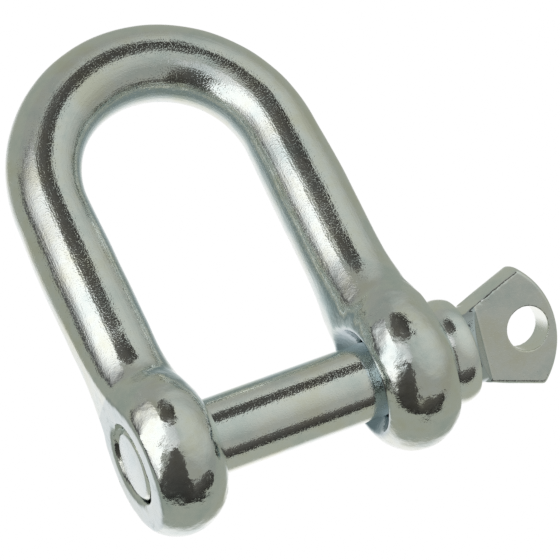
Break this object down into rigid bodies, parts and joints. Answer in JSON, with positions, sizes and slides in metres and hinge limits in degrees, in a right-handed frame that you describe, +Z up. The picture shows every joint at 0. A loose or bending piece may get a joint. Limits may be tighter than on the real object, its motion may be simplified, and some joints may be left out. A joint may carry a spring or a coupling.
{
  "type": "chain joining shackle",
  "caption": "Zinc-plated D shackle: a round-rod bow with an eye on each leg, closed by a screw pin with a collar and a drilled flat tab.",
  "frame": {"origin": "on the surface it lies on, under the middle of the overall box", "axes": "+X along the pin towards its tab, +Y from the pin to the crown of the bow, +Z up"},
  "size_m": [0.0592, 0.0665, 0.021],
  "materials": {
    "zinc_bow": "bright zinc plate on a forged, slightly grained surface",
    "zinc_pin": "bright zinc plate on a drawn and pressed surface"
  },
  "bodies": {
    "shackle": {"shackle_body": "zinc_bow"},
    "pin": {"screw_pin": "zinc_pin"}
  },
  "joints": [
    {"name": "pin_withdraw", "type": "slide", "parent": "shackle", "child": "pin", "axis": [1, 0, 0], "range_m": [0, 0.044]}
  ]
}
